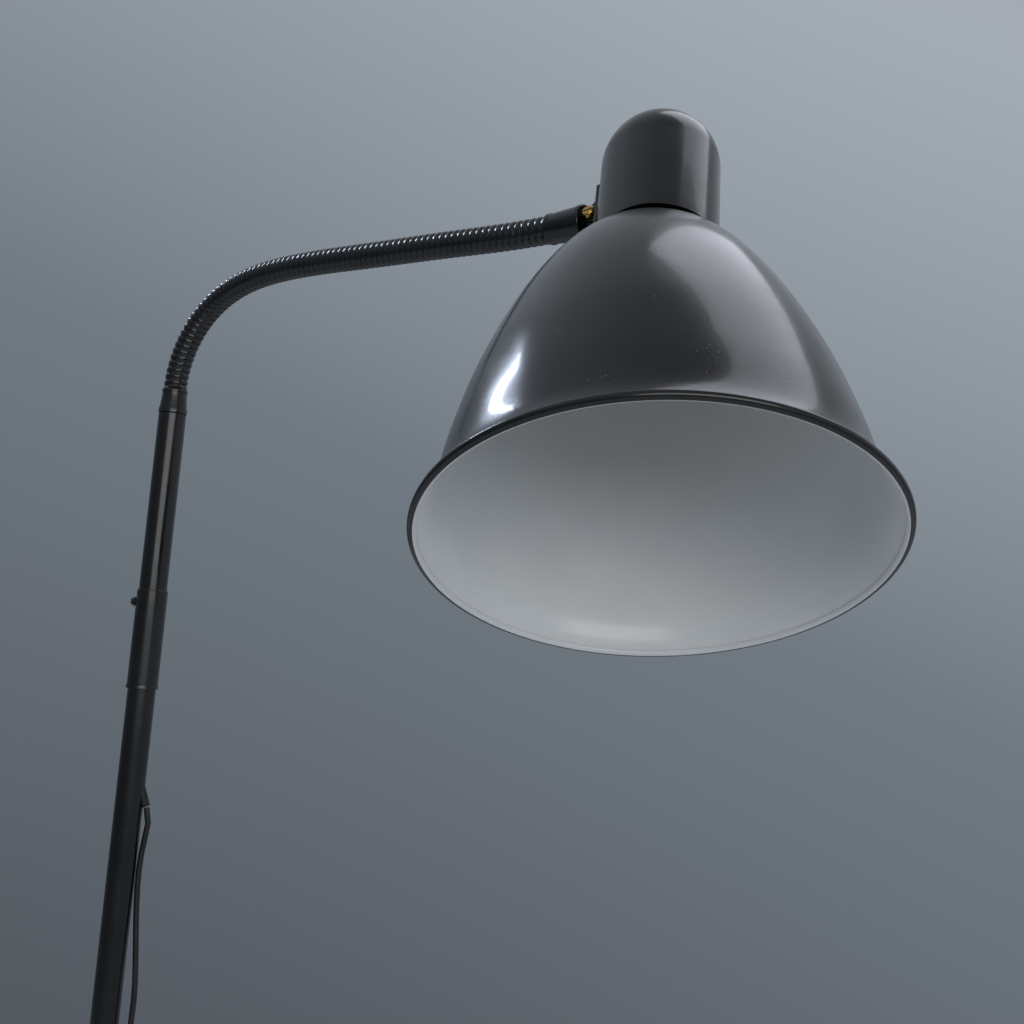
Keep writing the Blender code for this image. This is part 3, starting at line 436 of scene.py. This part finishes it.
def turned(name, outline, material, segments=64, place=Matrix.Identity(4), soften=0.0003, closed=True):
    bm = bmesh.new()
    line = [bm.verts.new((r, 0.0, z)) for r, z in outline]
    edges = [bm.edges.new(pair) for pair in zip(line, line[1:])]
    if closed:
        edges.append(bm.edges.new((line[-1], line[0])))
    bmesh.ops.spin(
        bm, geom=line + edges, cent=(0, 0, 0), axis=(0, 0, 1), angle=2 * math.pi, steps=segments, use_merge=True,
    )
    bmesh.ops.remove_doubles(bm, verts=bm.verts, dist=0.000002)
    bmesh.ops.recalc_face_normals(bm, faces=bm.faces)
    sharp = [e for e in bm.edges if e.is_manifold and e.calc_face_angle() > math.radians(35)]
    bmesh.ops.bevel(
        bm, geom=sharp, offset=soften, offset_type="OFFSET", segments=2, profile=0.5, affect="EDGES", material=-1,
        clamp_overlap=True,
    )
    bmesh.ops.transform(bm, matrix=place, verts=bm.verts)
    bmesh.ops.recalc_face_normals(bm, faces=bm.faces)
    piece = as_piece(name, bm, [material])
    even = piece.modifiers.new("even_normals", "WEIGHTED_NORMAL")
    even.mode, even.weight, even.keep_sharp = "FACE_AREA", 50, False
    return piece


def fit(piece, body, slot, *stands_for):
    """Fix a piece to a moving body and hide the solids it stands for; slot is not used."""
    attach(piece, body)
    if stands_for:
        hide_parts(*stands_for)
    return piece


# %% [markdown]
# ## Pole and base
# The pole is two drawn tubes that meet in a sleeve, over a spun cover that hides the cast weight.  The cover's top
# could be a flattened ball, but a line through a few heights follows the press-formed shape more closely.

# %% Pole and base
GAP = 0.0003


def ring_of(inner, outer, low, high):
    return [(outer, high), (outer, low), (inner, low), (inner, high)]


cover_top = [(p.x, p.y) for p in smooth_line([
    (0.0092, 0.0240, 0), (0.0600, 0.0228, 0), (0.1000, 0.0200, 0), (0.1160, 0.0172, 0), (0.1250, 0.0125, 0),
    (0.1290, 0.0080, 0), (0.1300, 0.0036, 0),
], 0.0025)]
cover_under = [
    (0.1288, 0.0036), (0.1278, 0.0076), (0.1240, 0.0117), (0.1154, 0.0161), (0.0997, 0.0188), (0.0600, 0.0216),
    (0.0092, 0.0228),
]
fit(turned("base_skin", cover_top + cover_under, base_enamel, 160), "stand", "black_enamel", "base_cover")

collar = [
    (0.0110, 0.0340), (0.0135, 0.0330), (0.0155, 0.0310), (0.0168, 0.0283), (0.0175, 0.0244), (0.0084, 0.0244),
    (0.0084, 0.0340),
]
fit(turned("foot_ring", collar, pole_enamel, 96), "stand", "black_enamel", "foot_collar")
fit(turned("pole_low", ring_of(0.0068, 0.0080, 0.0233, 1.2247), pole_enamel, 64), "stand", "black_enamel", "lower_tube")
high_tube = turned("pole_high", ring_of(0.0068, 0.0080, 1.2253, 1.3647), pole_enamel, 64)
fit(high_tube, "arm_root", "black_enamel", "upper_tube")
sleeve = [
    (0.0086, 1.2596), (0.0088, 1.2590), (0.0088, 1.2042), (0.0092, 1.2036), (0.0092, 1.2020), (0.0083, 1.2020),
    (0.0083, 1.2596),
]
fit(turned("sleeve_skin", sleeve, pole_enamel, 64, soften=0.00015), "stand", "black_enamel", "pole_sleeve")
pole_cap = [
    (0.0071, 1.3797), (0.0074, 1.3787), (0.0074, 1.3775), (0.0071, 1.3767), (0.0079, 1.3684), (0.0083, 1.3676),
    (0.0083, 1.3650), (0.0040, 1.3650), (0.0040, 1.3797),
]
fit(turned("pole_end", pole_cap, pole_enamel, 64, soften=0.0002), "arm_root", "black_enamel", "pole_ferrule")
print("pole and base turned")

# %% [markdown]
# ## The cord's strain reliefs
# Rubber sleeves where the cord leaves the pole and where it enters the plug.  Each tapers so that the cord bends
# over a length and not at one point.  They are turned about the cord's own direction.

# %% Strain reliefs
GLAND_LEAN = math.radians(25.0)
out_by = math.sin(GLAND_LEAN)
gland_down = Vector((out_by * math.cos(SIDE), out_by * math.sin(SIDE), -math.cos(GLAND_LEAN)))
gland_tip = Vector((0.0102 * math.cos(SIDE), 0.0102 * math.sin(SIDE), 1.1346))
gland_turn = gland_down.to_track_quat("Z", "Y").to_matrix().to_4x4()
gland_place = Matrix.Translation(gland_tip - gland_down * 0.020) @ gland_turn
taper = [(0.0, 0.0200), (0.0023, 0.0200), (0.0026, 0.0150), (0.0030, 0.0090), (0.0031, 0.0), (0.0, 0.0)]
gland = turned("gland_sleeve", taper, moulded_rubber, 32, gland_place, closed=False)
fit(gland, "stand", "black_rubber", "cord_gland")

boot_place = Matrix.Translation(PLUG + Vector((-0.0163, 0, 0))) @ Matrix.Rotation(math.radians(-90), 4, "Y")
boot_outline = [(0.0, 0.0207), (0.0022, 0.0207)]
for k in range(5):  # five soft rings, as moulded reliefs have
    z = 0.0185 - 0.0036 * k
    wide = 0.0024 + 0.00033 * k
    boot_outline += [(wide, z + 0.0006), (wide + 0.0002, z), (wide, z - 0.0009), (wide - 0.0002, z - 0.0018)]
boot_outline += [(0.0040, 0.0010), (0.0040, 0.0), (0.0, 0.0)]
boot = turned("plug_boot", boot_outline, moulded_pvc, 32, boot_place, 0.0001, False)
fit(boot, "stand", "plug_pvc", "plug_relief")
print("strain reliefs turned")

# %% [markdown]
# ## What the cords are
# Both cords stay with the stand and take the extruded PVC finish.  The length of the whole lead is printed.

# %% Fix the cords to the stand
print("whole lead:", round(length_of(drop_points) + length_of(mains_points), 3), "m")
fit(lamp_cord, "stand", "cord_pvc", "cord_drop")
fit(mains_cord, "stand", "cord_pvc", "cord_run", "cord_coil", "cord_tail")
for piece in (lamp_cord, mains_cord):
    piece.data.materials.clear()
    piece.data.materials.append(extruded_pvc)

# %% [markdown]
# ## The hose
# A gooseneck is a steel strip wound into a screw, here with a thin coat of black PVC, so its ribs run round it like a
# thread with a 3.9 mm pitch.  Each piece starts as a straight turned bar.  Every corner is then pushed in or out to
# make the thread and carried to the bent middle line.  The real hose bends everywhere, so ten pieces meet in the
# middles of the jointed sections, and each of the eight inner ones spans one joint.

# %% The hose's middle line
HOSE_LOW, HOSE_LENGTH, SECTIONS = 1.3800, 0.297, 9
HOSE_TURN = (18.5, 14.7, 2.8, -0.4, 0.5, -2.6)  # radians per metre, at even steps


def hose_line(count=600):
    step = HOSE_LENGTH / count
    place, angle = Vector((0.0, 0.0, HOSE_LOW)), 0.0
    places, angles = [place.copy()], [angle]
    for k in range(count):
        at = (k + 0.5) / count * (len(HOSE_TURN) - 1)
        i = min(int(at), len(HOSE_TURN) - 2)
        turn = HOSE_TURN[i] + (HOSE_TURN[i + 1] - HOSE_TURN[i]) * (at - i)
        middle = angle + turn * step / 2
        place = place + Vector((math.sin(middle), 0.0, math.cos(middle))) * step
        angle += turn * step
        places.append(place.copy())
        angles.append(angle)
    return places, angles


hose_places, hose_angles = hose_line()
print("hose ends at", [round(x, 3) for x in hose_places[-1]])
ACROSS = Vector((0.0, 1.0, 0.0))


def hose_at(length):
    """Place, direction and upper side of the hose at a length from the pole."""
    k = min(max(length / HOSE_LENGTH, 0.0), 1.0) * (len(hose_places) - 1)
    i = min(int(k), len(hose_places) - 2)
    place = hose_places[i].lerp(hose_places[i + 1], k - i)
    angle = hose_angles[i] + (hose_angles[i + 1] - hose_angles[i]) * (k - i)
    return place, Vector((math.sin(angle), 0.0, math.cos(angle))), Vector((-math.cos(angle), 0.0, math.sin(angle)))


# %% [markdown]
# ## Ribs as a screw
# A displacement map could draw the ribs, but an exported shape would lose them.  Here each corner is moved by a wave
# that climbs one pitch in every turn, which is what makes a thread and not a row of rings.

# %% The ribbed pieces
RIB_PITCH = HOSE_LENGTH / SECTIONS / 8.5
RING_STEP = RIB_PITCH / 8
HOSE_R, GROOVE = 0.0068, 0.00075


def ribbed(name, low, high):
    bm = bmesh.new()
    count = round((high - low) / RING_STEP)
    heights = [low + (high - low) * k / count for k in range(count + 1)]
    outline = [(0.0, low)] + [(HOSE_R, z) for z in heights] + [(0.0, high)]
    line = [bm.verts.new((r, 0.0, z)) for r, z in outline]
    edges = [bm.edges.new(pair) for pair in zip(line, line[1:])]
    bmesh.ops.spin(
        bm, geom=line + edges, cent=(0, 0, 0), axis=(0, 0, 1), angle=2 * math.pi, steps=32, use_merge=True,
    )
    bmesh.ops.remove_doubles(bm, verts=bm.verts, dist=0.000002)
    for corner in bm.verts:
        round_it = math.atan2(corner.co.y, corner.co.x)
        middle, _, upper = hose_at(corner.co.z)
        out = math.hypot(corner.co.x, corner.co.y)
        if out > 0.001:
            wave = abs(math.sin(math.pi * (corner.co.z / RIB_PITCH + round_it / (2 * math.pi))))
            out = HOSE_R - GROOVE * (1 - wave**0.6)
        corner.co = middle + (upper * math.cos(round_it) + ACROSS * math.sin(round_it)) * out
    bmesh.ops.recalc_face_normals(bm, faces=bm.faces)
    for edge in bm.edges:  # a crisp edge round each flat end, so the ends don't darken the ribs beside them
        if edge.is_manifold and edge.calc_face_angle() > math.radians(50):
            edge.smooth = False
    return as_piece(name, bm, [hose_pvc])


section = HOSE_LENGTH / SECTIONS
first = ribbed("hose_skin_00", GAP, section / 2)
fit(first, "arm_root", "hose_black", "hose_01")
for n in range(1, SECTIONS):
    piece = ribbed(f"hose_skin_{n:02d}", (n - 0.5) * section, (n + 0.5) * section)
    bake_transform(piece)
    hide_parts(f"hose_{n + 1:02d}")
last = ribbed("hose_skin_09", HOSE_LENGTH - section / 2, HOSE_LENGTH)
fit(last, "arm_tip", "hose_black", "hose_09")
print("hose ribs:", round(HOSE_LENGTH / RIB_PITCH, 1))

# %% [markdown]
# ## Where the head hangs
# Each part of the head has its own axis.  The neck carries on from the hose, the pin turns and tips the head, and
# the shade hangs a few degrees askew under the cap, as it does when its ring is loose.  Multiplying one small
# placement after another gives each axis, in the order of the real joints.

# %% Axes of the head
end_place, end_along, end_upper = hose_at(HOSE_LENGTH)
NECK = Matrix((end_along, ACROSS, end_upper)).transposed().to_4x4()
NECK.translation = end_place
LAY_DOWN = Matrix.Rotation(math.radians(90), 4, "Y")
PIN = NECK @ Matrix.Translation((0.025, 0, 0)) @ Matrix.Rotation(math.radians(-24.9), 4, "X")
HEAD = PIN @ Matrix.Rotation(math.radians(-11.9), 4, "Y")
CAP_AXIS = HEAD @ Matrix.Translation((0.0328, 0, 0))
SHADE = (
    CAP_AXIS @ Matrix.Translation((-0.0028, -0.0011, -0.0381))
    @ Matrix.Rotation(math.radians(-2.4), 4, "Y") @ Matrix.Rotation(math.radians(3.35), 4, "X")
)
print("shade axis", [round(x, 3) for x in SHADE.col[2][:3]])

neck_end = [
    (0.0081, 0.0208), (0.0085, 0.0202), (0.0085, 0.0184), (0.0082, 0.0176), (0.0072, 0.0036), (0.0075, 0.0028),
    (0.0075, 0.0012), (0.0072, GAP), (0.0058, GAP), (0.0058, 0.0080), (0.0042, 0.0080), (0.0042, 0.0165),
    (0.0062, 0.0165), (0.0062, 0.0208),
]
fit(turned("neck_end", neck_end, pole_enamel, 64, NECK @ LAY_DOWN, 0.0002), "arm_tip", "black_enamel", "head_ferrule")

# %% [markdown]
# ## The shade
# A bell spun from steel sheet 0.8 mm thick, with its rim rolled over a wire.  One closed outline runs down the
# outside, round the rim and up the inside, and is turned in 144 steps so that the long rim stays round.  Faces that
# look inwards take the white enamel, and all others the black.

# %% Shade
TO_RIM = 0.147
RIM_R, BEAD_R, WALL = 0.0918, 0.0018, 0.0008
bell = [
    (0.1522, 0.0218), (0.1470, 0.0284), (0.1332, 0.0413), (0.1148, 0.0526), (0.0919, 0.0632),
    (0.0643, 0.0730), (0.0367, 0.0800), (0.0138, 0.0842), (0.0050, 0.0874),
]  # height above the rim, radius
outside = [(0.0193, 0.1530 - TO_RIM)] + [(p.x, p.y) for p in smooth_line([(r, h - TO_RIM, 0) for h, r in bell], 0.0030)]
inside = []
for k, (r, z) in enumerate(outside):
    before, after = outside[max(k - 1, 0)], outside[min(k + 1, len(outside) - 1)]
    run = Vector((after[0] - before[0], after[1] - before[1])).normalized()
    inside.append((r + run.y * WALL, z - run.x * WALL))
inside[0] = (0.0193, outside[0][1] - WALL)
bead = []
for k in range(21):
    turn = math.radians(128 - 328 * k / 20)
    bead.append((RIM_R - BEAD_R + BEAD_R * math.cos(turn), BEAD_R - TO_RIM + BEAD_R * math.sin(turn)))

shade_white = white_enamel(tuple(SHADE.translation), tuple(SHADE.col[2][:3]), TO_RIM)
shade = turned("shade_shell", outside + bead + inside[::-1], black_enamel, 144, SHADE, 0.0001)
shade.data.materials.append(shade_white)
axis, top = SHADE.col[2].to_3d(), SHADE.translation
inner = 0
for face in shade.data.polygons:
    out = face.center - top
    out = (out - axis * out.dot(axis)).normalized()
    if face.normal.dot(out) < -0.20:
        face.material_index = 1
        inner += 1
fit(shade, "head", "black_enamel", "shade")
print("shade faces:", len(shade.data.polygons), "white:", inner)

# %% [markdown]
# ## The cap
# A deep drawn cup that covers the lampholder.  Its dome is flatter than a ball, so the outline is a quarter of an
# ellipse above a straight skirt.

# %% Cap
CAP_R, CAP_WALL, CAP_LOW, SHOULDER, RISE = 0.0271, 0.0010, -0.0344, 0.0175, 0.0280


def dome(radius, rise, steps=28):
    turns = [math.pi / 2 * k / steps for k in range(steps)]
    return [(radius * math.cos(a), SHOULDER + rise * math.sin(a)) for a in turns] + [(0.0, SHOULDER + rise)]


skirt_out = [(CAP_R, CAP_LOW + (SHOULDER - CAP_LOW) * k / 8) for k in range(7, -1, -1)]
skirt_in = [(CAP_R - CAP_WALL, CAP_LOW + (SHOULDER - CAP_LOW) * k / 8) for k in range(8)]
outline = dome(CAP_R, RISE)[::-1] + skirt_out + skirt_in + dome(CAP_R - CAP_WALL, RISE - CAP_WALL)
cap = turned("cap_shell", outline, black_enamel, 128, CAP_AXIS, 0.0002, closed=False)
fit(cap, "head", "black_enamel", "socket_cap")
print("cap height:", round(SHOULDER + RISE - CAP_LOW, 4))

# %% [markdown]
# ## The lampholder
# A moulded holder with a ring that clamps the shade, and a rolled brass thread for the bulb.  All three are turned
# about the shade's axis.  The thread is a sine wave, because a lamp thread is rolled and has no sharp crest.

# %% Lampholder
grip = [(0.0190, 0.0040), (0.0210, 0.0040), (0.0230, 0.0022), (0.0230, -0.0010), (0.0220, -0.0022), (0.0190, -0.0022)]
fit(turned("grip_ring", grip, moulded_bakelite, 96, SHADE), "head", "bakelite", "shade_ring")
arm_low = 0.0180 + 0.0381 - 0.0012
holder = [
    (0.0110, arm_low), (0.0138, arm_low - 0.0030), (0.0138, 0.0215), (0.0186, 0.0175), (0.0186, 0.0100),
    (0.0206, 0.0096),
    (0.0206, 0.0068), (0.0186, 0.0066), (0.0186, -0.0110), (0.0178, -0.0120), (0.0150, -0.0120), (0.0150, 0.0158),
    (0.0120, 0.0158), (0.0120, 0.0400), (0.0053, 0.0400), (0.0053, arm_low),
]
fit(turned("holder_shell", holder, moulded_bakelite, 96, SHADE, 0.0003), "head", "bakelite", "holder_body")
waves = [-0.0100 + 0.0250 * k / 42 for k in range(43)]  # a rolled lamp thread, seven rounded turns 3.6 mm apart
roll = [0.00028 * math.sin(2 * math.pi * z / 0.0036) for z in waves]
thread = [(0.0143 + w, z) for w, z in zip(roll, waves)][::-1] + [(0.0138 + w, z) for w, z in zip(roll, waves)]
fit(turned("thread_skin", thread, turned_brass, 72, SHADE, 0.0001), "head", "brass", "thread_shell")
print("head pieces made")

# %% [markdown]
# ## Pieces that only need a finish
# Nuts, screws, the bracket, the plug and the switch already have their true shape.  They are left where they are
# and get a finish.  The larger moulded ones also get a fine round on their edges, after their loose triangles have
# been joined.

# %% Finishes for the remaining solids
finishes = {
    needled_felt: ["base_pad"],
    sand_cast_iron: ["base_weight"],
    zinc_steel: ["foot_washer", "foot_nut", "foot_stud", "holder_strap", "holder_nipple", "holder_nut", "switch_screw"],
    turned_brass: [
        "pivot_screw", "pivot_nut", "bracket_screw_upper", "bracket_screw_lower",
        "bracket_nut_upper", "bracket_nut_lower",
        "centre_contact", "swivel_washer", "plug_pin_left", "plug_pin_right",
    ],
    pole_enamel: ["set_screw", "knuckle", "head_bracket"],
    glazed_porcelain: ["holder_insert"],
    moulded_rubber: ["coil_tie"],
    moulded_pvc: ["plug_body", "switch_base", "switch_cover", "switch_rocker"],
    extruded_pvc: ["pole_lead"],
}
for material, names in finishes.items():
    for name in names:
        for held in nodes[name].material_slots:
            held.material = material

for name, width in (
    ("switch_cover", 0.0009), ("switch_base", 0.0006), ("switch_rocker", 0.0004), ("coil_tie", 0.0003),
    ("head_bracket", 0.0002), ("knuckle", 0.0002),
):
    join = nodes[name].modifiers.new("join", "WELD")
    join.merge_threshold = 0.000002
    soft = nodes[name].modifiers.new("soft_edges", "BEVEL")
    soft.width, soft.segments, soft.limit_method, soft.angle_limit = width, 3, "ANGLE", math.radians(40)
print("solids finished:", sum(len(names) for names in finishes.values()))

# %% [markdown]
# ## Studio
# A pale floor, a soft blue-grey surround that brightens towards the ceiling, and soft panels.  Gloss black shows
# almost nothing of its own colour, only what stands around it, so the panels are placed where the shade and the
# cap should mirror them.  Each panel's place is a direction and a distance from the shade.

# %% Floor
bm = bmesh.new()
bmesh.ops.create_circle(bm, cap_ends=True, segments=96, radius=2.6)
bmesh.ops.translate(bm, vec=(0.0, 0.0, -0.0004), verts=bm.verts)
floor_paint = surface("matt_floor_paint", "#DCDEDF", "#D5D7D9", 0.80, 0.05, 6.0, 0.02)
floor = as_piece("studio_floor", bm, [floor_paint])
print("floor placed")

# %% [markdown]
# ## The surround
# A gradient on the world is the cheapest soft light there is.  It follows a tilted direction, so the top right is
# lighter than the bottom left, as when a room has its window on one side.

# %% Surround
world = bpy.data.worlds.new("studio_surround")
world.use_nodes = True
bpy.context.scene.world = world
tree = world.node_tree
direction = add(tree, "TexCoord").outputs["Generated"]
uphill = add(tree, "VectorMath", {0: direction, 1: (0.316, 0.129, 0.940)}, operation="DOT_PRODUCT")
share = add(tree, "MapRange", {"Value": uphill.outputs["Value"], "From Min": -1.0, "From Max": 1.0})
ramp = add(tree, "ValToRGB", {"Fac": share.outputs["Result"]})
stops = (
    (0.0, "#34373A"), (0.275, "#555B62"), (0.5, "#717A82"), (0.725, "#A4ACB5"), (0.85, "#A0A5AB"), (1.0, "#8A8D91"),
)
while len(ramp.color_ramp.elements) < len(stops):
    ramp.color_ramp.elements.new(0.5)
for element, (at, code) in zip(ramp.color_ramp.elements, stops):
    element.position = at
    element.color = linear(code)
tree.links.new(ramp.outputs["Color"], tree.nodes["Background"].inputs["Color"])
tree.nodes["Background"].inputs["Strength"].default_value = 1.0
print("surround stops:", len(stops))


# %% [markdown]
# ## Soft panels
# An area lamp looks like a bright rectangle in gloss paint.  Its size sets how soft the edge is and its distance how
# large it looks, so each is named for the thing in a room that it stands for.

# %% Panels
def panel(name, code, watts, towards, away, wide, high, aim_at=(0.36, -0.05, 1.36)):
    light = bpy.data.lights.new(name, "AREA")
    light.shape = "RECTANGLE"
    light.size, light.size_y = wide, high
    light.energy = watts
    light.color = linear(code)[:3]
    lamp = bpy.data.objects.new(name, light)
    bpy.context.scene.collection.objects.link(lamp)
    middle = Vector(aim_at)
    lamp.location = middle + Vector(towards).normalized() * away
    lamp.rotation_euler = (middle - lamp.location).to_track_quat("-Z", "Y").to_euler()
    return lamp


window = panel("window_left", "#DCE8FF", 6.5, (-0.826, 0.076, 0.559), 2.2, 0.20, 0.42, aim_at=(0.343, -0.133, 1.338))
panel("ceiling_far", "#EEF2FF", 13.0, (0.10, 0.52, 0.85), 2.4, 1.7, 1.5)
panel("room_behind", "#F6F5F1", 21.5, (0.74, -0.64, 0.14), 2.6, 2.6, 1.0)

# the narrow window is meant for the shade, the hose and the pole; on the cap it would draw a line that is not wanted
lit = bpy.data.collections.new("lit_by_window")
for held in bpy.data.objects:
    if held.name.startswith(("shade_shell", "hose_skin", "neck_end", "pole_")):
        lit.objects.link(held)
window.light_linking.receiver_collection = lit
bpy.context.scene.view_settings.view_transform = "Standard"
print("panels:", len(bpy.data.lights))
